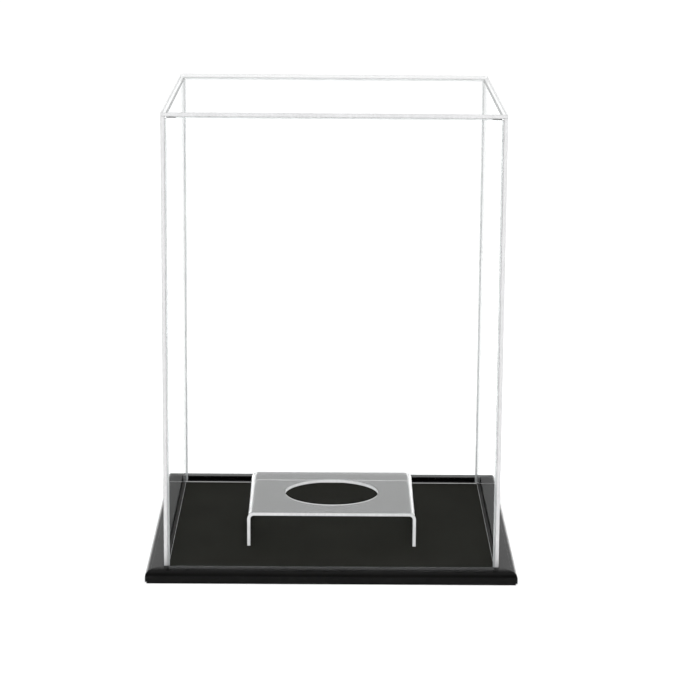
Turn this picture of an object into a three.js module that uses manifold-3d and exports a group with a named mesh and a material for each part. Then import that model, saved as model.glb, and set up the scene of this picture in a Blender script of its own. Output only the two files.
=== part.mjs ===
// Football display case: a five-sided clear cover that stands in the recess of a black framed base,
// with a loose bent riser inside it that seats the ball.
// Millimetres, +Z up. The origin is on the ground under the middle of the case, and the front faces -Y.
import * as THREE from "three";
import { mergeVertices } from "three/addons/utils/BufferGeometryUtils.js";
import Module from "manifold-3d";

const wasm = await Module();
wasm.setup();

// ---------------------------------------------------------------- driving dimensions
const BASE_SIZE = 310; // square, outside the mouldings
const GROUND_GAP = 1.5; // how far the feet hold the mouldings off the ground
const MOULDING_HEIGHT = 10;
const RECESS_DEPTH = 5; // from the top of the mouldings down to the floor of the tray
const ROUND_OVER = { width: 4, height: 6 }; // outer top edge of the mouldings
const EDGE_EASE = 0.6; // small rounding of the mouldings' other long edges
const REBATE_WIDTH = 8; // step under the mouldings that takes the base board
const MITRE_GAP = 0.15; // each moulding stops this far short of the mitre plane

const BOARD_THICKNESS = 3;
const FLOOR_THICKNESS = 1.5;
const SEAT_GAP = 0.3; // between pieces that are let into each other

const COVER_SIZE = 280; // square, outside the panels
const COVER_HEIGHT = 385;
const SHEET = 3; // acrylic thickness, cover and riser alike
const COVER_CLEARANCE = 0.5; // all round, between the cover and the tray

const RISER = { width: 146, depth: 134, height: 30, bendRadius: 6 };
const SEAT_HOLE_DIAMETER = 82.5;

const FOOT = { diameter: 15, topDiameter: 13.5, inset: 30 };
const SCREW = { head: 5.6, shank: 2.6, length: 8, headDepth: 1.6, spacing: 170 };

// ---------------------------------------------------------------- levels and half sizes
const MOULDING_TOP = GROUND_GAP + MOULDING_HEIGHT;
const FLOOR_TOP = MOULDING_TOP - RECESS_DEPTH;
const BOARD_TOP = FLOOR_TOP - FLOOR_THICKNESS;
const BOARD_UNDERSIDE = BOARD_TOP - BOARD_THICKNESS;
const TRAY_HALF = COVER_SIZE / 2 + COVER_CLEARANCE; // inner wall of the mouldings
const MOULDING_WIDTH = BASE_SIZE / 2 - TRAY_HALF;
const BOARD_HALF = TRAY_HALF + REBATE_WIDTH - SEAT_GAP;
const SIDES = ["front", "right", "back", "left"];
const CORNERS = { front_left: [-1, -1], front_right: [1, -1], back_right: [1, 1], back_left: [-1, 1] };

// ---------------------------------------------------------------- materials
const finish = (color, roughness, metalness = 0, extra = {}) =>
  new THREE.MeshStandardMaterial({ color, roughness, metalness, ...extra });
const BLACK_SATIN = finish(0x161616, 0.35);
const HARDBOARD = finish(0x3b2a1d, 0.8);
const BLACK_MATT = finish(0x2d2d29, 0.85);
const CLEAR_ACRYLIC = finish(0xf2f6f7, 0.05, 0, { transparent: true, opacity: 0.25 });
const BLACK_RUBBER = finish(0x101010, 0.9);
const ZINC = finish(0xb9bab5, 0.35, 0.9);

// ---------------------------------------------------------------- solids, cuts and placing
// A closed solid for cutting: only positions, with shared corners merged.
function solidOf(geometry) {
  const bare = new THREE.BufferGeometry();
  const flat = geometry.index ? geometry.toNonIndexed() : geometry;
  bare.setAttribute("position", flat.getAttribute("position").clone());
  const merged = mergeVertices(bare, 1e-4);
  return new wasm.Manifold(
    new wasm.Mesh({
      numProp: 3,
      vertProperties: new Float32Array(merged.getAttribute("position").array),
      triVerts: new Uint32Array(merged.index.array),
    })
  );
}

function geometryOf(solid) {
  const { vertProperties, triVerts } = solid.getMesh();
  const geometry = new THREE.BufferGeometry();
  geometry.setAttribute("position", new THREE.BufferAttribute(new Float32Array(vertProperties), 3));
  geometry.setIndex(new THREE.BufferAttribute(new Uint32Array(triVerts), 1));
  geometry.computeVertexNormals();
  return geometry;
}

function cut(geometry, cutters) {
  return geometryOf(cutters.reduce((solid, cutter) => solid.subtract(solidOf(cutter)), solidOf(geometry)));
}

function named(name, geometry, material, [x, y, z] = [0, 0, 0]) {
  const mesh = new THREE.Mesh(geometry, material);
  mesh.name = name;
  mesh.position.set(x, y, z);
  return mesh;
}

// A solid turned about Z from [radius, height] points that start and end on the axis.
function turned(points, segments) {
  const geometry = new THREE.LatheGeometry(
    points.map(([radius, height]) => new THREE.Vector2(radius, height)),
    segments
  );
  return geometry.rotateX(Math.PI / 2);
}

// ---------------------------------------------------------------- base: mitred mouldings
// Cross-section with u outwards from the tray's inner wall and z up. The board lies in the step below.
function mouldingSection() {
  const { width, height } = ROUND_OVER;
  const lip = BOARD_TOP + SEAT_GAP;
  const section = new THREE.Shape();
  section.moveTo(0, lip);
  section.lineTo(REBATE_WIDTH, lip);
  section.lineTo(REBATE_WIDTH, GROUND_GAP);
  section.lineTo(MOULDING_WIDTH - EDGE_EASE, GROUND_GAP);
  section.absarc(MOULDING_WIDTH - EDGE_EASE, GROUND_GAP + EDGE_EASE, EDGE_EASE, -Math.PI / 2, 0);
  section.lineTo(MOULDING_WIDTH, MOULDING_TOP - height);
  section.absellipse(MOULDING_WIDTH - width, MOULDING_TOP - height, width, height, 0, Math.PI / 2);
  section.lineTo(EDGE_EASE, MOULDING_TOP);
  section.absarc(EDGE_EASE, MOULDING_TOP - EDGE_EASE, EDGE_EASE, Math.PI / 2, Math.PI);
  section.closePath();
  return section;
}

// One moulding, made as the front one: a unit-long bar whose ends are then drawn out to the mitre planes.
function mouldingGeometry(screwHoles) {
  const bar = new THREE.ExtrudeGeometry(mouldingSection(), { depth: 1, bevelEnabled: false, curveSegments: 8 });
  const position = bar.getAttribute("position");
  for (let i = 0; i < position.count; i++) {
    const u = position.getX(i);
    const z = position.getY(i);
    const end = position.getZ(i) > 0.5 ? 1 : -1;
    position.setXYZ(i, -end * (TRAY_HALF + u - MITRE_GAP), -(TRAY_HALF + u), z);
  }
  return cut(bar, screwHoles);
}

// ---------------------------------------------------------------- base: screws that hold the board
const SCREW_ROW = TRAY_HALF + REBATE_WIDTH / 2; // distance of each row of screws from the centre
const SCREW_TIP = BOARD_UNDERSIDE + SCREW.length;

const screwPlaces = SIDES.flatMap((side, turn) =>
  [-1, 1].map((end) => ({
    name: `board_screw_${side}_${end < 0 ? "a" : "b"}`,
    place: new THREE.Vector3((end * SCREW.spacing) / 2, -SCREW_ROW, 0).applyAxisAngle(
      new THREE.Vector3(0, 0, 1),
      (turn * Math.PI) / 2
    ),
  }))
);

// Countersunk screw, head down and flush with the underside of the board, `clearance` larger all round.
function screwGeometry(clearance = 0) {
  const head = SCREW.head / 2 + clearance;
  const shank = SCREW.shank / 2 + clearance;
  const low = BOARD_UNDERSIDE - clearance;
  const point = SCREW_TIP + clearance;
  return turned(
    [
      [0, low],
      [head, low],
      [head, BOARD_UNDERSIDE + 0.3],
      [shank, BOARD_UNDERSIDE + SCREW.headDepth + clearance],
      [shank, point - 1.2],
      [0, point],
    ],
    16
  );
}

function screwHoleAt(x, y) {
  return screwGeometry(SEAT_GAP).translate(x, y, 0);
}

function base() {
  const group = new THREE.Group();

  const ownHoles = () => [-1, 1].map((end) => screwHoleAt((end * SCREW.spacing) / 2, -SCREW_ROW));
  SIDES.forEach((side, turn) => {
    const turner = new THREE.Group();
    turner.rotation.z = (turn * Math.PI) / 2;
    turner.add(named(`rim_${side}`, mouldingGeometry(ownHoles()), BLACK_SATIN));
    group.add(turner);
  });

  const board = new THREE.BoxGeometry(2 * BOARD_HALF, 2 * BOARD_HALF, BOARD_THICKNESS);
  board.translate(0, 0, (BOARD_TOP + BOARD_UNDERSIDE) / 2);
  const holes = screwPlaces.map(({ place }) => screwHoleAt(place.x, place.y));
  group.add(named("base_board", cut(board, holes), HARDBOARD));

  const floorSide = 2 * (TRAY_HALF - SEAT_GAP);
  const floor = new THREE.BoxGeometry(floorSide, floorSide, FLOOR_THICKNESS);
  group.add(named("floor_panel", floor, BLACK_MATT, [0, 0, FLOOR_TOP - FLOOR_THICKNESS / 2]));

  for (const { name, place } of screwPlaces) {
    group.add(named(name, screwGeometry(), ZINC, [place.x, place.y, 0]));
  }

  const foot = turned(
    [
      [0, 0],
      [FOOT.topDiameter / 2 - 0.5, 0],
      [FOOT.topDiameter / 2, 0.4],
      [FOOT.diameter / 2, BOARD_UNDERSIDE - 0.4],
      [FOOT.diameter / 2, BOARD_UNDERSIDE],
      [0, BOARD_UNDERSIDE],
    ],
    32
  );
  const reach = BASE_SIZE / 2 - FOOT.inset;
  for (const [corner, [x, y]] of Object.entries(CORNERS)) {
    group.add(named(`foot_${corner}`, foot, BLACK_RUBBER, [x * reach, y * reach, 0]));
  }
  return group;
}

// ---------------------------------------------------------------- cover: five bonded panels
// The top lies over the four walls. The side walls run the full depth, with the front and back between them.
function cover() {
  const group = new THREE.Group();
  const wallHeight = COVER_HEIGHT - SHEET;
  const wallMiddle = FLOOR_TOP + wallHeight / 2;
  const offset = (COVER_SIZE - SHEET) / 2;

  const side = new THREE.BoxGeometry(SHEET, COVER_SIZE, wallHeight);
  group.add(named("cover_left", side, CLEAR_ACRYLIC, [-offset, 0, wallMiddle]));
  group.add(named("cover_right", side, CLEAR_ACRYLIC, [offset, 0, wallMiddle]));

  const between = new THREE.BoxGeometry(COVER_SIZE - 2 * SHEET, SHEET, wallHeight);
  group.add(named("cover_front", between, CLEAR_ACRYLIC, [0, -offset, wallMiddle]));
  group.add(named("cover_back", between, CLEAR_ACRYLIC, [0, offset, wallMiddle]));

  const top = new THREE.BoxGeometry(COVER_SIZE, COVER_SIZE, SHEET);
  group.add(named("cover_top", top, CLEAR_ACRYLIC, [0, 0, FLOOR_TOP + COVER_HEIGHT - SHEET / 2]));
  return group;
}

// ---------------------------------------------------------------- riser: one bent sheet with a seat hole
function riser() {
  const { width, depth, height, bendRadius } = RISER;
  const half = width / 2;
  const inner = bendRadius - SHEET;
  const section = new THREE.Shape();
  section.moveTo(-half, 0);
  section.lineTo(-half + SHEET, 0);
  section.lineTo(-half + SHEET, height - bendRadius);
  section.absarc(-half + bendRadius, height - bendRadius, inner, Math.PI, Math.PI / 2, true);
  section.lineTo(half - bendRadius, height - SHEET);
  section.absarc(half - bendRadius, height - bendRadius, inner, Math.PI / 2, 0, true);
  section.lineTo(half - SHEET, 0);
  section.lineTo(half, 0);
  section.lineTo(half, height - bendRadius);
  section.absarc(half - bendRadius, height - bendRadius, bendRadius, 0, Math.PI / 2);
  section.lineTo(-half + bendRadius, height);
  section.absarc(-half + bendRadius, height - bendRadius, bendRadius, Math.PI / 2, Math.PI);
  section.closePath();

  const bent = new THREE.ExtrudeGeometry(section, { depth, bevelEnabled: false, curveSegments: 12 });
  bent.rotateX(Math.PI / 2).translate(0, depth / 2, 0);

  const cutter = new THREE.CylinderGeometry(SEAT_HOLE_DIAMETER / 2, SEAT_HOLE_DIAMETER / 2, 4 * SHEET, 72);
  cutter.rotateX(Math.PI / 2).translate(0, 0, height - SHEET / 2);
  return named("riser", cut(bent, [cutter]), CLEAR_ACRYLIC, [0, 0, FLOOR_TOP]);
}

const displayCase = new THREE.Group();
displayCase.add(base(), cover(), riser());
export default displayCase;
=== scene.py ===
import math

import bmesh
import bpy
from mathutils import Matrix, Vector


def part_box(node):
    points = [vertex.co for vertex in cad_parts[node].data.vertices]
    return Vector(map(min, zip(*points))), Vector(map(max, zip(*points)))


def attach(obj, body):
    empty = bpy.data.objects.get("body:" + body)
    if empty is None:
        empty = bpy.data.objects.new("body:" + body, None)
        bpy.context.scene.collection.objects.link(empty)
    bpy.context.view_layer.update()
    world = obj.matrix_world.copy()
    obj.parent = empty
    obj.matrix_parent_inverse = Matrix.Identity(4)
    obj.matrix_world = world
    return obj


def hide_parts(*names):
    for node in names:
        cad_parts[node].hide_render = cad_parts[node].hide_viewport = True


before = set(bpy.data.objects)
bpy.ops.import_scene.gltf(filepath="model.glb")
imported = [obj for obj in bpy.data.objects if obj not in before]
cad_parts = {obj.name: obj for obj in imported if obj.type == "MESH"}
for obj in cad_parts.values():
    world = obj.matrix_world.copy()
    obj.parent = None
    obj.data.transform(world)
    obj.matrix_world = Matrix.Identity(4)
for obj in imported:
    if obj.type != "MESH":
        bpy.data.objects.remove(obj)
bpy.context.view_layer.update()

# ------------------------------------------------------------------ base board
# A square of 3 mm hardboard, let into the step under the mouldings and held up by eight screws. Its
# smooth face is up, under the floor panel, and its underside has the crossed print of the wire screen
# that it was pressed on.


class Wire:
    """An output of a node. Arithmetic on it, or with it, adds the Math node that does the sum."""

    def __init__(self, tree, socket):
        self.tree, self.socket = tree, socket

    def sum(self, operation, *terms):
        return self.tree.add("ShaderNodeMath", {"operation": operation}, dict(enumerate(terms)))

    def __add__(self, other):
        return self.sum("ADD", self, other)

    def __sub__(self, other):
        return self.sum("SUBTRACT", self, other)

    def __rsub__(self, other):
        return self.sum("SUBTRACT", other, self)

    def __mul__(self, other):
        return self.sum("MULTIPLY", self, other)

    def __truediv__(self, other):
        return self.sum("DIVIDE", self, other)

    def __abs__(self):
        return self.sum("ABSOLUTE", self)

    def __gt__(self, other):
        return self.sum("GREATER_THAN", self, other)

    def __lt__(self, other):
        return self.sum("LESS_THAN", self, other)

    __radd__ = __add__
    __rmul__ = __mul__


class Tree:
    """A node tree being built, of shader nodes or of geometry nodes."""

    def __init__(self, nodes_of):
        self.nodes, self.links = nodes_of.nodes, nodes_of.links
        self.nodes.clear()

    def add(self, kind, settings=None, sockets=None, output=0):
        node = self.nodes.new(kind)
        for name, value in (settings or {}).items():
            setattr(node, name, value)
        for name, value in (sockets or {}).items():
            self.feed(node.inputs[name], value)
        return Wire(self, node.outputs[output]) if len(node.outputs) else None

    def axes(self, vector):
        """The X, Y and Z of a vector."""
        return [self.add("ShaderNodeSeparateXYZ", sockets={"Vector": vector}, output=axis) for axis in "XYZ"]

    def feed(self, socket, value):
        if isinstance(value, Wire):
            self.links.new(value.socket, socket)
        else:
            socket.default_value = value


class Finish(Tree):
    """A material whose patterns are laid out in the object's own metres."""

    def __init__(self, name):
        self.material = bpy.data.materials.new(name)
        self.material.use_nodes = True
        super().__init__(self.material.node_tree)
        self.place = self.add("ShaderNodeTexCoord", output="Object")

    def stretched(self, x, y, z):
        return self.add("ShaderNodeMapping", sockets={"Vector": self.place, "Scale": (x, y, z)})

    def noise(self, size, detail=3.0, roughness=0.5, along=None):
        """Cloudy pattern from 0 to 1 whose patches are about `size` metres across."""
        sockets = {"Vector": along or self.place, "Scale": 1 / size, "Detail": detail, "Roughness": roughness}
        return self.add("ShaderNodeTexNoise", sockets=sockets)

    def between(self, factor, low, high):
        """Colour from low to high, by factor. Either may be a wire."""
        ends = [end if isinstance(end, Wire) else (*end, 1) for end in (low, high)]
        mixed = {"Factor": factor, 6: ends[0], 7: ends[1]}  # 6 and 7 are its two colours
        return self.add("ShaderNodeMix", {"data_type": "RGBA"}, mixed, output=2)

    def spread(self, factor, low, high):
        """Number from low to high as factor goes from 0.3 to 0.7, where most of a noise lies."""
        sockets = {"Value": factor, "From Min": 0.3, "From Max": 0.7, "To Min": low, "To Max": high}
        return self.add("ShaderNodeMapRange", sockets=sockets)

    def bump(self, height, depth, strength=1.0):
        return self.add("ShaderNodeBump", sockets={"Height": height, "Distance": depth, "Strength": strength})

    def principled(self, **named):
        sockets = {name.replace("_", " "): value for name, value in named.items()}
        return self.add("ShaderNodeBsdfPrincipled", sockets=sockets)

    def shown(self, surface):
        self.add("ShaderNodeOutputMaterial", sockets={"Surface": surface})
        return self.material


def keep(node, material):
    """A CAD node whose shape is right stays, with its real finish."""
    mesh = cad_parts[node].data
    mesh.materials.clear()
    mesh.materials.append(material)


def hardboard():
    f = Finish("hardboard")
    fibres = f.noise(0.0016, 6.0, 0.7, f.stretched(1, 0.45, 1))
    flecks = f.noise(0.0006, 2.0) > 0.66
    clouds = f.noise(0.05, 2.0)
    brown = f.between(f.spread(fibres * 0.7 + clouds * 0.3, 0, 1), (0.11, 0.058, 0.028), (0.21, 0.125, 0.066))
    colour = f.between(flecks * 0.5, brown, (0.3, 0.2, 0.12))
    x, y, _ = f.axes(f.place)
    screen_pitch = 0.0021
    screen = x.sum("SINE", x * (2 * math.pi / screen_pitch)) * y.sum("SINE", y * (2 * math.pi / screen_pitch))
    normal = f.bump(screen * 0.5 + fibres * 0.6, 0.0002)
    return f.shown(f.principled(
        Base_Color=colour, Roughness=f.spread(fibres, 0.7, 0.9), Specular_IOR_Level=0.3, Normal=normal))


keep("base_board", hardboard())

# ------------------------------------------------------------------ mouldings
# Four lengths of wooden moulding, mitred and glued at the corners and sprayed satin black. A shallow
# quirk sets off the flat top from the round-over, and a step underneath takes the base board. Their
# inner walls make the recess that the cover stands in.
MOULDING_ROUND = Vector((0.004, 0.006))  # width and height of the round-over
QUIRK = Vector((0.0007, 0.0004))  # width and depth
REBATE = 0.008  # width of the step underneath
SMALL_RADIUS = 0.0006  # easing of the other edges
HAIRLINE = 0.00003  # half of the open joint at a mitre


def arc(centre, radii, start, end, steps):
    """Points of an elliptical arc in a section, from start to end degrees."""
    angles = [math.radians(start + (end - start) * i / steps) for i in range(steps + 1)]
    return [(centre[0] + radii[0] * math.cos(a), centre[1] + radii[1] * math.sin(a)) for a in angles]


def moulding_section(width, bottom, step, top):
    """Closed outline from the inner foot, round the outside, with x outwards from the tray wall."""
    r, rise = SMALL_RADIUS, MOULDING_ROUND
    flat_end = width - rise.x
    return (
        [(0, step), (REBATE, step), (REBATE, bottom)]
        + arc((width - r, bottom + r), (r, r), -90, 0, 5)
        + [(width, bottom + r + 0.0002), (width, top - rise.y - 0.0002)]
        + arc((flat_end, top - rise.y), (rise.x, rise.y - QUIRK.y), 0, 84, 18)
        + [(flat_end, top - QUIRK.y), (flat_end - QUIRK.x * 0.4, top - QUIRK.y)]
        + arc((flat_end - QUIRK.x - 0.0003, top - 0.0003), (0.0003, 0.0003), 0, 90, 4)
        + [(r + 0.0002, top)]
        + arc((r, top - r), (r, r), 90, 180, 5)
    )


def crease(mesh, degrees=28):
    """Smooth faces that meet at less than this angle, and a sharp edge between the others."""
    mesh.shade_smooth()
    mesh.set_sharp_from_angle(angle=math.radians(degrees))


def placed(name, shape):
    """An object in the scene, at the origin, made from a mesh or from a bmesh, which is used up."""
    if isinstance(shape, bmesh.types.BMesh):
        mesh = bpy.data.meshes.new(name)
        shape.to_mesh(mesh)
        shape.free()
    else:
        mesh = shape
        mesh.name = name
    made = bpy.data.objects.new(name, mesh)
    bpy.context.scene.collection.objects.link(made)
    return made


def piece(name, body, shape, materials, stands_for=()):
    """The finished object of one piece, riding its body. `shape` is a mesh or a bmesh."""
    made = placed(name, shape)
    for material in materials:
        made.data.materials.append(material)
    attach(made, body)
    if stands_for:
        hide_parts(*stands_for)
    return made


def satin_black():
    f = Finish("satin_black_lacquer")
    peel = f.noise(0.0035, 2.0)
    dust = f.noise(0.0007, 1.0) > 0.74
    clouds = f.noise(0.03, 3.0)
    lightness = f.spread(clouds, 0, 1) + dust * 0.6
    colour = f.between(lightness, (0.0006, 0.0006, 0.0006), (0.0014, 0.0014, 0.0013))
    rough = f.spread(f.noise(0.012, 4.0), 0.19, 0.25) + dust * 0.1
    return f.shown(f.principled(
        Base_Color=colour, Roughness=rough, Specular_IOR_Level=0.075, Normal=f.bump(peel, 0.00003)))


base_low, base_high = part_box("rim_front")
board_low, board_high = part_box("base_board")
base_half = base_high.x
tray_half = -base_high.y
rebate_top = board_high.z + 0.0003
outline = moulding_section(base_high.y - base_low.y, base_low.z, rebate_top, base_high.z)
black = satin_black()
for turn, side in enumerate(("front", "right", "back", "left")):
    moulding = bmesh.new()
    ends = [
        [moulding.verts.new((end * (tray_half + u - HAIRLINE), -(tray_half + u), z)) for u, z in outline]
        for end in (-1, 1)
    ]
    for i in range(len(outline)):
        j = (i + 1) % len(outline)
        moulding.faces.new((ends[0][i], ends[1][i], ends[1][j], ends[0][j]))
    moulding.faces.new(ends[0])
    moulding.faces.new(reversed(ends[1]))
    bmesh.ops.recalc_face_normals(moulding, faces=moulding.faces)
    moulding.transform(Matrix.Rotation(turn * math.pi / 2, 4, "Z"))
    made = piece(f"moulding_{side}", "base", moulding, [black], [f"rim_{side}"])
    crease(made.data)

# ------------------------------------------------------------------ board screws
# Small countersunk wood screws of zinc-plated steel with a cross recess, two to a side. They go up
# through the board into the mouldings, with their heads flush with its underside.
SCREW_HEAD = 0.0028  # radius
SCREW_SHANK = 0.0013  # radius
SCREW_LENGTH = 0.008
HEAD_DEPTH = 0.0016
RECESS_ARM = 0.0016  # from the middle of the cross
RECESS_WIDTH = 0.0005  # half of it


def spun(outline, steps):
    """A solid turned about Z from (radius, height) points that start and end on the axis."""
    solid = bmesh.new()
    rings = []
    for radius, z in outline:
        angles = [2 * math.pi * i / steps for i in range(steps if radius > 0 else 1)]
        rings.append([solid.verts.new((radius * math.cos(a), radius * math.sin(a), z)) for a in angles])
    for below, above in zip(rings, rings[1:]):
        for i in range(steps):
            j = (i + 1) % steps
            lower = [below[i % len(below)], below[j % len(below)]]
            upper = [above[j % len(above)], above[i % len(above)]]
            solid.faces.new(list(dict.fromkeys(lower + upper)))
    bmesh.ops.recalc_face_normals(solid, faces=solid.faces)
    return solid


def applied(name, shape, *modifiers):
    """The mesh of a shape after its modifiers, each given as a type and its settings."""
    holder = placed(name, shape)
    for kind, settings in modifiers:
        modifier = holder.modifiers.new(kind, kind)
        for setting, value in settings.items():
            if hasattr(modifier, setting):
                setattr(modifier, setting, value)
            else:
                modifier[setting] = value
    done = bpy.data.meshes.new_from_object(holder.evaluated_get(bpy.context.evaluated_depsgraph_get()))
    bpy.data.objects.remove(holder)
    return done


def set_out(name, pattern, material, count, spacing, distance):
    """Geometry Nodes that set `count` copies of a pattern along each of the four sides."""
    group = bpy.data.node_groups.new(name, "GeometryNodeTree")
    sizes = {"Count": ("NodeSocketInt", count), "Spacing": ("NodeSocketFloat", spacing),
             "Distance": ("NodeSocketFloat", distance), "Pattern": ("NodeSocketObject", pattern),
             "Material": ("NodeSocketMaterial", material)}
    group.interface.new_socket("Geometry", in_out="OUTPUT", socket_type="NodeSocketGeometry")
    named = {
        label: group.interface.new_socket(label, in_out="INPUT", socket_type=kind).identifier
        for label, (kind, _) in sizes.items()
    }
    tree = Tree(group)
    given = tree.nodes.new("NodeGroupInput").outputs

    def size(label):
        return Wire(tree, given[label])

    start = tree.add("ShaderNodeCombineXYZ", sockets={
        "X": (size("Count") - 1) * size("Spacing") * -0.5, "Y": size("Distance") * -1.0})
    step = tree.add("ShaderNodeCombineXYZ", sockets={"X": size("Spacing")})
    row = tree.add("GeometryNodeMeshLine", sockets={
        "Count": size("Count"), "Start Location": start, "Offset": step})
    shape = tree.add("GeometryNodeObjectInfo", {"transform_space": "ORIGINAL"},
                     {"Object": size("Pattern")}, output="Geometry")
    on_row = tree.add("GeometryNodeInstanceOnPoints", sockets={"Points": row, "Instance": shape})
    middle = tree.add("GeometryNodeMeshLine", sockets={"Count": 4, "Offset": (0, 0, 0)})
    quarter = tree.add("GeometryNodeInputIndex") * (math.pi / 2)
    facing = tree.add("ShaderNodeCombineXYZ", sockets={"Z": quarter})
    all_round = tree.add("GeometryNodeInstanceOnPoints", sockets={
        "Points": middle, "Instance": on_row, "Rotation": facing})
    whole = tree.add("GeometryNodeRealizeInstances", sockets={"Geometry": all_round})
    finished = tree.add("GeometryNodeSetMaterial", sockets={"Geometry": whole, "Material": size("Material")})
    tree.add("NodeGroupOutput", sockets={"Geometry": finished})

    inputs = {identifier: sizes[label][1] for label, identifier in named.items()}
    mesh = applied(name, bmesh.new(), ("NODES", {"node_group": group, **inputs}))
    bpy.data.objects.remove(pattern)
    return mesh


def zinc():
    f = Finish("zinc_plate")
    grain = f.noise(0.0004, 3.0)
    tarnish = f.noise(0.002, 2.0)
    colour = f.between(f.spread(tarnish, 0, 1), (0.52, 0.52, 0.49), (0.66, 0.65, 0.6))
    rough = f.spread(grain, 0.25, 0.45)
    return f.shown(f.principled(
        Base_Color=colour, Metallic=1.0, Roughness=rough, Normal=f.bump(grain, 0.00001)))


head_z = board_low.z
thread_z = head_z + HEAD_DEPTH + 0.0009
screw = spun(
    [(0, head_z), (SCREW_HEAD - 0.0001, head_z), (SCREW_HEAD, head_z + 0.0001),
     (SCREW_HEAD, head_z + 0.0003), (SCREW_SHANK, head_z + HEAD_DEPTH)]
    + [(SCREW_SHANK * (0.78 if i % 2 else 1.0), thread_z + 0.00045 * i) for i in range(9)]
    + [(0, head_z + SCREW_LENGTH)], 24)
recess = bmesh.new()
for arm_x, arm_y in ((RECESS_ARM, RECESS_WIDTH), (RECESS_WIDTH, RECESS_ARM)):
    tool = bmesh.ops.create_cube(recess, size=2)["verts"]
    for v in tool:
        taper = 0.45 if v.co.z > 0 else 1.0
        v.co = (v.co.x * arm_x * taper, v.co.y * arm_y * taper, head_z + (0.0011 if v.co.z > 0 else -0.0005))
recess_tool = placed("recess", recess)
crossed = {"object": recess_tool, "operation": "DIFFERENCE", "solver": "EXACT", "use_self": True}
screw_pattern = placed("screw", applied("screw", screw, ("BOOLEAN", crossed)))
bpy.data.objects.remove(recess_tool)

screw_nodes = sorted(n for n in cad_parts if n.startswith("board_screw_"))
front_low, front_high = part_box("board_screw_front_a")
other_low, other_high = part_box("board_screw_front_b")
screw_row = -(front_low.y + front_high.y) / 2
screw_spacing = abs(other_low.x - front_low.x)
all_screws = set_out("board_screws", screw_pattern, zinc(), 2, screw_spacing, screw_row)
screws = piece("board_screws", "base", all_screws, [], screw_nodes)
crease(screws.data)

# ------------------------------------------------------------------ feet
# Moulded black rubber pads stuck under the corners of the board. Each has eased edges and a shallow
# dished sole, so that it grips on its rim.
foot_low, foot_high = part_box("foot_front_right")
foot_radius = (foot_high.x - foot_low.x) / 2
foot_reach = (foot_low.x + foot_high.x) / 2
foot_height = foot_high.z
sole = foot_radius - 0.00125


def rubber():
    f = Finish("black_rubber")
    skin = f.noise(0.0005, 3.0)
    bloom = f.noise(0.004, 2.0)
    colour = f.between(f.spread(bloom, 0, 1), (0.009, 0.009, 0.009), (0.02, 0.02, 0.019))
    rough = f.spread(skin, 0.72, 0.9)
    return f.shown(f.principled(
        Base_Color=colour, Roughness=rough, Specular_IOR_Level=0.35, Normal=f.bump(skin, 0.00004)))


pad = spun(
    [(0, 0.0005), (sole * 0.62, 0.0005), (sole * 0.7, 0.00042), (sole * 0.78, 0.0001)]
    + [(sole * 0.82, 0), (sole - 0.0002, 0)]
    + arc((sole - 0.0002, 0.0004), (0.00045, 0.0004), -90, 0, 5)
    + [(foot_radius - 0.0001, foot_height - 0.0005), (foot_radius, foot_height - 0.0003)]
    + [(foot_radius, foot_height), (0, foot_height)], 64)
pad.transform(Matrix.Translation((foot_reach, 0, 0)))  # to the right-hand end of the front side
all_feet = set_out("feet", placed("foot", pad), rubber(), 1, 0.0, foot_reach)
foot_nodes = sorted(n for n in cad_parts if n.startswith("foot_"))
feet = piece("feet", "base", all_feet, [], foot_nodes)
crease(feet.data)

# ------------------------------------------------------------------ floor panel
# The floor of the tray: a thin card faced in fine-grained matt black, cut a shade smaller than the
# opening between the mouldings and glued down on the base board. The cover and the riser stand on it.


def matt_black():
    f = Finish("matt_black_facing")
    grain = f.noise(0.0009, 4.0, 0.65)
    pores = f.noise(0.0004, 2.0) > 0.62
    clouds = f.noise(0.045, 3.0)
    lightness = f.spread(grain * 0.6 + clouds * 0.4, 0, 1) - pores * 0.25
    colour = f.between(lightness, (0.0080, 0.0081, 0.0064), (0.0138, 0.0139, 0.0113))
    normal = f.bump(grain - pores * 0.4, 0.00012)
    return f.shown(f.principled(
        Base_Color=colour, Roughness=f.spread(grain, 0.72, 0.92), Specular_IOR_Level=0.03, Normal=normal))


keep("floor_panel", matt_black())

# ------------------------------------------------------------------ riser
# One sheet of 3 mm clear acrylic, sawn and drilled flat, sanded on its edges, then bent down over a
# hot wire on two lines into a bridge. It stands loose on the floor panel, and the ball's tip sits in
# its round hole.
SHEET = 0.003
BEND = 0.006  # outside radius
HOLE_RADIUS = 0.04125
EDGE_BREAK = 0.0003
ACRYLIC_IOR = 1.49


def sheet_edge(name, dark, light, back_opens=0.0, shine=0.5, painted_glow=0.0):
    """Edge of a sheet, which scatters light. From behind it opens by the share `back_opens`, and its last
    argument gives it a painted glow, an emission that stands in for the light run along inside the sheet."""
    f = Finish(name)
    saw = f.noise(0.0012, 2.0, 0.5, f.stretched(1, 1, 0.25))
    clouds = f.noise(0.02, 2.0)
    lightness = f.spread(saw * 0.5 + clouds * 0.5, 0, 1)
    colour = f.between(lightness, (dark, dark, dark * 1.01), (light, light, light * 1.01))
    # Painted glow: the tint of the light that the edge gives out, standing in for light run along inside the
    # sheet.
    glow_tint = f.between(f.spread(clouds, 0, 1), (0.9, 0.9, 0.9), (1, 1, 1))
    face = f.principled(
        Base_Color=colour, Roughness=f.spread(saw, 0.2, 0.34), IOR=ACRYLIC_IOR, Specular_IOR_Level=shine,
        Emission_Color=glow_tint, Emission_Strength=painted_glow, Normal=f.bump(saw, 0.00003))
    if not back_opens:
        return f.shown(face)
    behind = f.add("ShaderNodeNewGeometry", output="Backfacing") * back_opens
    through = f.add("ShaderNodeBsdfTransparent", sockets={"Color": (0.97, 0.975, 0.975, 1)})
    return f.shown(f.add("ShaderNodeMixShader", sockets={0: behind, 1: face, 2: through}))


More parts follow.
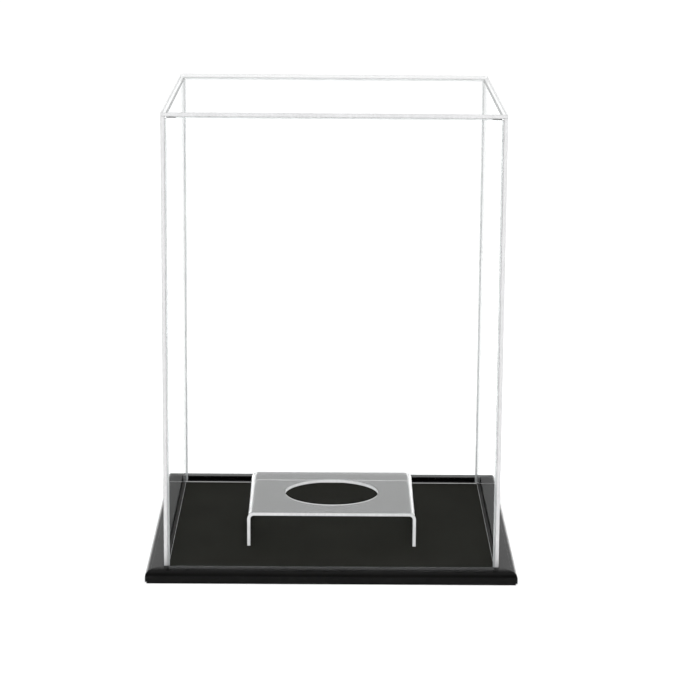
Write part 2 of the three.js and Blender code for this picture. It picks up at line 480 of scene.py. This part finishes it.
def clear_solid():
    """Bends light as the solid sheet does, and lets lamps through to what stands under it."""
    f = Finish("bent_clear_acrylic")
    haze = f.noise(0.03, 3.0)
    sheet = f.principled(
        Base_Color=(0.985, 0.99, 0.99, 1), Roughness=f.spread(haze, 0.0, 0.03), IOR=ACRYLIC_IOR,
        Transmission_Weight=1.0, Normal=f.bump(f.noise(0.05, 1.0), 0.00006))
    shade = f.add("ShaderNodeBsdfTransparent", sockets={"Color": (0.88, 0.89, 0.89, 1)})
    for_lamps = f.add("ShaderNodeLightPath", output="Is Shadow Ray")
    return f.shown(f.add("ShaderNodeMixShader", sockets={0: for_lamps, 1: sheet, 2: shade}))


riser_low, riser_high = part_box("riser")
half_width = riser_high.x
bend_x, bend_z = half_width - BEND, riser_high.z - BEND
outside = (
    [(half_width, riser_low.z)] + arc((bend_x, bend_z), (BEND, BEND), 0, 90, 20)
    + arc((-bend_x, bend_z), (BEND, BEND), 90, 180, 20) + [(-half_width, riser_low.z)])
inner = BEND - SHEET
inside = (
    [(-half_width + SHEET, riser_low.z)] + arc((-bend_x, bend_z), (inner, inner), 180, 90, 20)
    + arc((bend_x, bend_z), (inner, inner), 90, 0, 20) + [(half_width - SHEET, riser_low.z)])
bent = bmesh.new()
near, far = ([bent.verts.new((x, y, z)) for x, z in outside + inside] for y in (riser_low.y, riser_high.y))
for i in range(len(near)):
    j = (i + 1) % len(near)
    bent.faces.new((near[i], near[j], far[j], far[i]))
bent.faces.new(near)
bent.faces.new(far)
bmesh.ops.recalc_face_normals(bent, faces=bent.faces)
below_plate, above_plate = riser_high.z - 3 * SHEET, riser_high.z + SHEET
drill_tool = placed("drill", spun(
    [(0, below_plate), (HOLE_RADIUS, below_plate), (HOLE_RADIUS, above_plate), (0, above_plate)], 128))
drilled = {"object": drill_tool, "operation": "DIFFERENCE", "solver": "EXACT"}
broken_edges = {"width": EDGE_BREAK, "segments": 2, "limit_method": "ANGLE",
                "angle_limit": math.radians(50), "use_clamp_overlap": True}
riser_mesh = applied("riser_sheet", bent, ("BOOLEAN", drilled), ("BEVEL", broken_edges))
bpy.data.objects.remove(drill_tool)


def riser_normal(face, corner):
    """Exact normal of the bent faces and the hole's wall, so that they shine as one curve."""
    n = face.normal
    if abs(n.y) > 0.3 or n.z < -0.9 and corner.z < riser_low.z + SHEET / 2:
        return n
    by_hole = abs(corner.x) < bend_x - EDGE_BREAK and corner.xy.length < HOLE_RADIUS + EDGE_BREAK * 1.5
    if by_hole and abs(n.z) < 0.9:
        radial = Vector((-corner.x, -corner.y, 0)).normalized()
        return (radial * n.xy.length + Vector((0, 0, n.z))).normalized()
    if abs(n.z) > 0.9999 or abs(n.x) > 0.9999:
        return n
    if abs(corner.x) >= bend_x - 1e-5 and corner.z >= bend_z - 1e-5:
        out = Vector((corner.x - math.copysign(bend_x, corner.x), 0, corner.z - bend_z)).normalized()
        return out if out.dot(n) > 0 else -out
    return n


def own_normals(mesh, rule):
    """Give each face corner the normal that the rule works out from its face and its place."""
    mesh.shade_smooth()
    mesh.normals_split_custom_set([
        rule(face, mesh.vertices[v].co) for face in mesh.polygons for v in face.vertices])


# The sanded edges carry a painted glow, an emission that stands in for light run along inside the sheet.
sanded = sheet_edge("sanded_acrylic_edge_painted_glow", 0.16, 0.24, painted_glow=0.51)
arris = sheet_edge("broken_acrylic_edge", 0.32, 0.4, 0.3, 0.0)
riser = piece("riser_sheet", "riser", riser_mesh, [clear_solid(), sanded, arris], ["riser"])
for face in riser.data.polygons:
    n = face.normal
    in_hole = abs(n.z) < 0.9 and face.center.xy.length < HOLE_RADIUS + EDGE_BREAK
    foot_break = -0.999 < n.z < -0.1 and face.center.z < riser_low.z + EDGE_BREAK
    end_break = 0.05 < abs(n.y) < 0.999 and not in_hole
    if end_break or foot_break or in_hole and abs(n.z) > 0.1:
        face.material_index = 2
    elif abs(n.y) > 0.999 or in_hole:
        face.material_index = 1
own_normals(riser.data, riser_normal)

# ------------------------------------------------------------------ cover panels
# Five flat sheets of 3 mm clear acrylic with polished edges, solvent bonded into a box with no bottom.
# The top lies over the walls, and the side walls run past the ends of the front and back. The box
# stands loose in the recess, on the sawn feet of its walls.
BOND = 0.00005  # film of cement between two panels


def clear_pane():
    """A flat sheet seen through without shift. It mirrors at its front face for both of its faces."""
    f = Finish("flat_clear_acrylic")
    ripple = f.bump(f.noise(0.09, 1.0), 0.00012)
    once = f.add("ShaderNodeFresnel", sockets={"IOR": ACRYLIC_IOR, "Normal": ripple})
    front_face = 1 - f.add("ShaderNodeNewGeometry", output="Backfacing")
    both_faces = 2 * once / (1 + once)
    share = front_face * f.add("ShaderNodeMapRange", {"clamp": True}, {
        "Value": both_faces, "From Min": 0.15, "From Max": 1.0, "To Min": 0.0, "To Max": 0.3})
    through = f.add("ShaderNodeBsdfTransparent", sockets={"Color": (0.99, 0.993, 0.993, 1)})
    haze = f.spread(f.noise(0.04, 3.0), 0.0, 0.03)
    mirror = f.add("ShaderNodeBsdfGlossy", sockets={
        "Color": (1, 1, 1, 1), "Roughness": haze, "Normal": ripple})
    return f.shown(f.add("ShaderNodeMixShader", sockets={0: share, 1: through, 2: mirror}))


def flat_sheet(low, high):
    """A box with a small break on all its edges."""
    sheet = bmesh.new()
    bmesh.ops.create_cube(sheet, size=1)
    size, middle = high - low, (low + high) / 2
    for v in sheet.verts:
        v.co = Vector((v.co.x * size.x, v.co.y * size.y, v.co.z * size.z)) + middle
    bmesh.ops.bevel(sheet, geom=list(sheet.edges), offset=EDGE_BREAK, segments=2, profile=0.5, affect="EDGES")
    return sheet


FOOT_BREAK = 0.0005  # height of the break round the foot of a wall
PANE, POLISHED, SANDED, BROKEN, CLOUDY, SAWN = range(6)


def finish_of(n, thin, outward, wall):
    """Which finish a face of a panel has, from its normal and from the way the panel faces."""
    if abs(n[thin]) > 0.999:
        return PANE
    if wall and n.z > 0.999 or thin == 1 and abs(n.x) > 0.999:
        return PANE  # bonded to the next panel
    if not wall and n.z > 0.1 and abs(n.x) > 0.1:
        return PANE  # the top's outer line at the sides, too finely polished to show
    if wall and (n.z < -0.999 or n.z < -0.1 and n[thin] * outward > 0.1):
        return SAWN
    if wall and n.z < -0.1 and n[thin] * outward < -0.1:
        return SANDED
    if not wall and abs(n.x) > 0.999:
        return CLOUDY
    return POLISHED if max(abs(c) for c in n) > 0.999 else BROKEN


polished = sheet_edge("polished_acrylic_edge", 0.38, 0.44, 0.75)
cloudy = sheet_edge("cloudy_acrylic_edge", 0.4, 0.46, 0.75, 0.0)
sawn = sheet_edge("sawn_acrylic_foot", 0.09, 0.14, 0.5, 0.0)
# The sanded face, on the inner foot break of each wall, carries the same painted glow.
edges = [clear_pane(), polished, sanded, arris, cloudy, sawn]  # in the order of the six numbers
panels = {"cover_left": 0, "cover_right": 0, "cover_front": 1, "cover_back": 1, "cover_top": 2}
for node, thin in panels.items():
    low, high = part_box(node)
    outward = math.copysign(1, (low + high)[thin])
    wall = node != "cover_top"
    if wall:
        high.z -= BOND
    if thin == 1:
        low.x, high.x = low.x + BOND, high.x - BOND
    sheet = flat_sheet(low, high)
    for face in sheet.faces:
        face.material_index = finish_of(face.normal, thin, outward, wall)
    if wall:
        for v in sheet.verts:
            if low.z + EDGE_BREAK / 2 < v.co.z < low.z + EDGE_BREAK * 1.1:
                v.co.z = low.z + FOOT_BREAK
    piece(f"{node}_sheet", "cover", sheet, edges, [node])

# ------------------------------------------------------------------ cement in the corners
# Solvent cement that crept out of the joints and dried clear and slightly milky, as a thin fillet up each
# inner corner and round under the top. It is cloudier along the two side joints. At the ends of the front one
# it is painted dark and less see-through, as painted shade in the front top corners.
FILLET = 0.0017
cover_low, cover_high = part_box("cover_top")


def cement():
    f = Finish("dried_cement")
    beads = f.noise(0.012, 2.0, 0.5)
    x, y, z = f.axes(f.place)
    # Painted shade: the cement is dark and nearly opaque at the ends of the front joint, in the front top
    # corners.
    painted_corner_shade = (abs(x) > 0.1275) * (abs(x) < 0.1352) * (y < -0.13)
    pale = f.between(f.spread(beads, 0, 1), (0.40, 0.41, 0.412), (0.5, 0.51, 0.512))
    ring = z > cover_low.z - 1.2 * FILLET
    beside = ring * (abs(x) > 0.1352)
    cloudy = beside * (0.75 + f.spread(beads, 0, 1) * 0.25)
    duller = f.between(cloudy, pale, (0.17, 0.172, 0.173))
    colour = f.between(painted_corner_shade, duller, (0.12, 0.12, 0.12))
    milky = f.principled(Base_Color=colour, Roughness=f.spread(beads, 0.15, 0.3), IOR=ACRYLIC_IOR)
    through = f.add("ShaderNodeBsdfTransparent", sockets={"Color": (0.97, 0.975, 0.975, 1)})
    share = 0.5 - ring * 0.15 + painted_corner_shade * ring * 0.5 + beside * 0.35
    return f.shown(f.add("ShaderNodeMixShader", sockets={0: share, 1: through, 2: milky}))


def fillet(bead, start, end, inwards):
    """A concave fillet from start to end along an inner corner. `inwards` are the two wall normals."""
    first, second = inwards
    hollow = arc((FILLET, FILLET), (-FILLET, -FILLET), 0, 90, 6)
    rows = []
    for at in (start, end):
        corner = bead.verts.new(at)
        rows.append([corner] + [bead.verts.new(at + first * a + second * b) for a, b in hollow])
    for i in range(len(rows[0])):
        j = (i + 1) % len(rows[0])
        bead.faces.new((rows[0][i], rows[0][j], rows[1][j], rows[1][i]))
    bead.faces.new(rows[0])
    bead.faces.new(rows[1])


wall_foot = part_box("cover_left")[0].z
room = cover_high.x - SHEET - 0.00002
ceiling = cover_low.z - 0.00002
bead = bmesh.new()
for x in (-1, 1):
    for y in (-1, 1):
        foot, head = (Vector((x * room, y * room, z)) for z in (wall_foot + 0.001, ceiling - FILLET))
        fillet(bead, foot, head, (Vector((-x, 0, 0)), Vector((0, -y, 0))))
for turn in range(4):
    spin = Matrix.Rotation(turn * math.pi / 2, 3, "Z")
    reach = room - FILLET
    fillet(bead, spin @ Vector((-reach, -room, ceiling)), spin @ Vector((reach, -room, ceiling)),
           (spin @ Vector((0, 1, 0)), Vector((0, 0, -1))))
bmesh.ops.recalc_face_normals(bead, faces=bead.faces)
beads = piece("cover_cement", "cover", bead, [cement()])
crease(beads.data)

# ------------------------------------------------------------------ studio
# A plain white table that runs far back, a bright white surround overhead and behind, dimmer from the front,
# and two large soft lamps. The table glows round the base and is painted near black under it, a painted
# shadow that shows in the gap under the mouldings, and the camera gets less of the glow than the case does,
# so that clear edges stand out against the white.


def table_white():
    f = Finish("white_table")
    grain = f.noise(0.02, 3.0)
    x, y, _ = f.axes(f.place)
    beside = (abs(x) > base_half - 0.001) + (abs(y) > base_half - 0.001) > 0.5
    seen = f.add("ShaderNodeLightPath", output="Is Camera Ray")
    # Painted shadow: inside the base's footprint the table is painted near black.
    colour = f.between(beside * (0.95 + grain * 0.05), (0.02, 0.02, 0.02), (0.92, 0.92, 0.92))
    glow = f.between(beside * (1 - seen * 0.72), (0, 0, 0), (1, 1, 1))
    return f.shown(f.principled(
        Base_Color=colour, Roughness=0.9, Specular_IOR_Level=0.0,
        Emission_Color=glow, Emission_Strength=0.55))


table = bmesh.new()
bmesh.ops.create_circle(table, cap_ends=True, segments=96, radius=40)
table_top = placed("table", table)
table_top.data.materials.append(table_white())

world = bpy.data.worlds.new("studio")
bpy.context.scene.world = world
world.use_nodes = True
sky = Tree(world.node_tree)
_, back, height = sky.axes(sky.add("ShaderNodeTexCoord", output="Generated"))
horizon = sky.add("ShaderNodeMapRange", {"interpolation_type": "SMOOTHSTEP"}, {
    "Value": back, "From Min": -0.8, "From Max": 0.6, "To Min": 0.6, "To Max": 0.87})
overhead = sky.add("ShaderNodeMapRange", {"interpolation_type": "SMOOTHSTEP"}, {
    "Value": height, "From Min": 0.15, "From Max": 0.9, "To Min": 1.0, "To Max": 1.5})
seen = sky.add("ShaderNodeLightPath", output="Is Camera Ray")
level = horizon * overhead * (1 - seen) + seen * 1.08
surround = sky.add("ShaderNodeBackground", sockets={"Color": (1, 1, 1, 1), "Strength": level})
sky.add("ShaderNodeOutputWorld", sockets={"Surface": surround})

for name, place, size, watts, mirrored in (
    ("overhead_softbox", (-0.3, -0.9, 1.7), (1.6, 1.2), 8, True),
    ("front_softbox", (0.2, -2.7, 1.5), (1.6, 1.0), 45, False),
):
    softbox = bpy.data.lights.new(name, "AREA")
    softbox.shape = "RECTANGLE"
    softbox.size, softbox.size_y = size
    softbox.energy = watts
    lamp = bpy.data.objects.new(name, softbox)
    lamp.location = place
    lamp.visible_glossy = mirrored
    lamp.rotation_euler = (Vector((0, 0, 0.15)) - lamp.location).to_track_quat("-Z", "Y").to_euler()
    bpy.context.scene.collection.objects.link(lamp)

bpy.context.scene.view_settings.view_transform = "Standard"
bpy.context.scene.cycles.transparent_max_bounces = 24

# ------------------------------------------------------------------ camera
# A long lens more than two metres in front of the case, looking down on it a little, turned a hair to
# the right of its middle and rolled by a hair.
FOCAL_LENGTH = 130.51029  # millimetres, for a picture 36 mm wide
eye = Vector((-0.0029, -2.1731, 0.6506))
down, aside, roll = math.radians(12.58), math.radians(0.479), math.radians(0.464)
forward = Vector((math.sin(aside) * math.cos(down), math.cos(aside) * math.cos(down), -math.sin(down)))
level_right = forward.cross(Vector((0, 0, 1))).normalized()
level_up = level_right.cross(forward)
right = level_right * math.cos(roll) + level_up * math.sin(roll)
up = level_up * math.cos(roll) - level_right * math.sin(roll)
camera_data = bpy.data.cameras.new("camera")
camera_data.sensor_width = 36
camera_data.lens = FOCAL_LENGTH
camera_data.clip_end = 200
camera = bpy.data.objects.new("camera", camera_data)
camera.matrix_world = Matrix((
    (right.x, up.x, -forward.x, eye.x), (right.y, up.y, -forward.y, eye.y),
    (right.z, up.z, -forward.z, eye.z), (0, 0, 0, 1)))
bpy.context.scene.collection.objects.link(camera)
bpy.context.scene.camera = camera
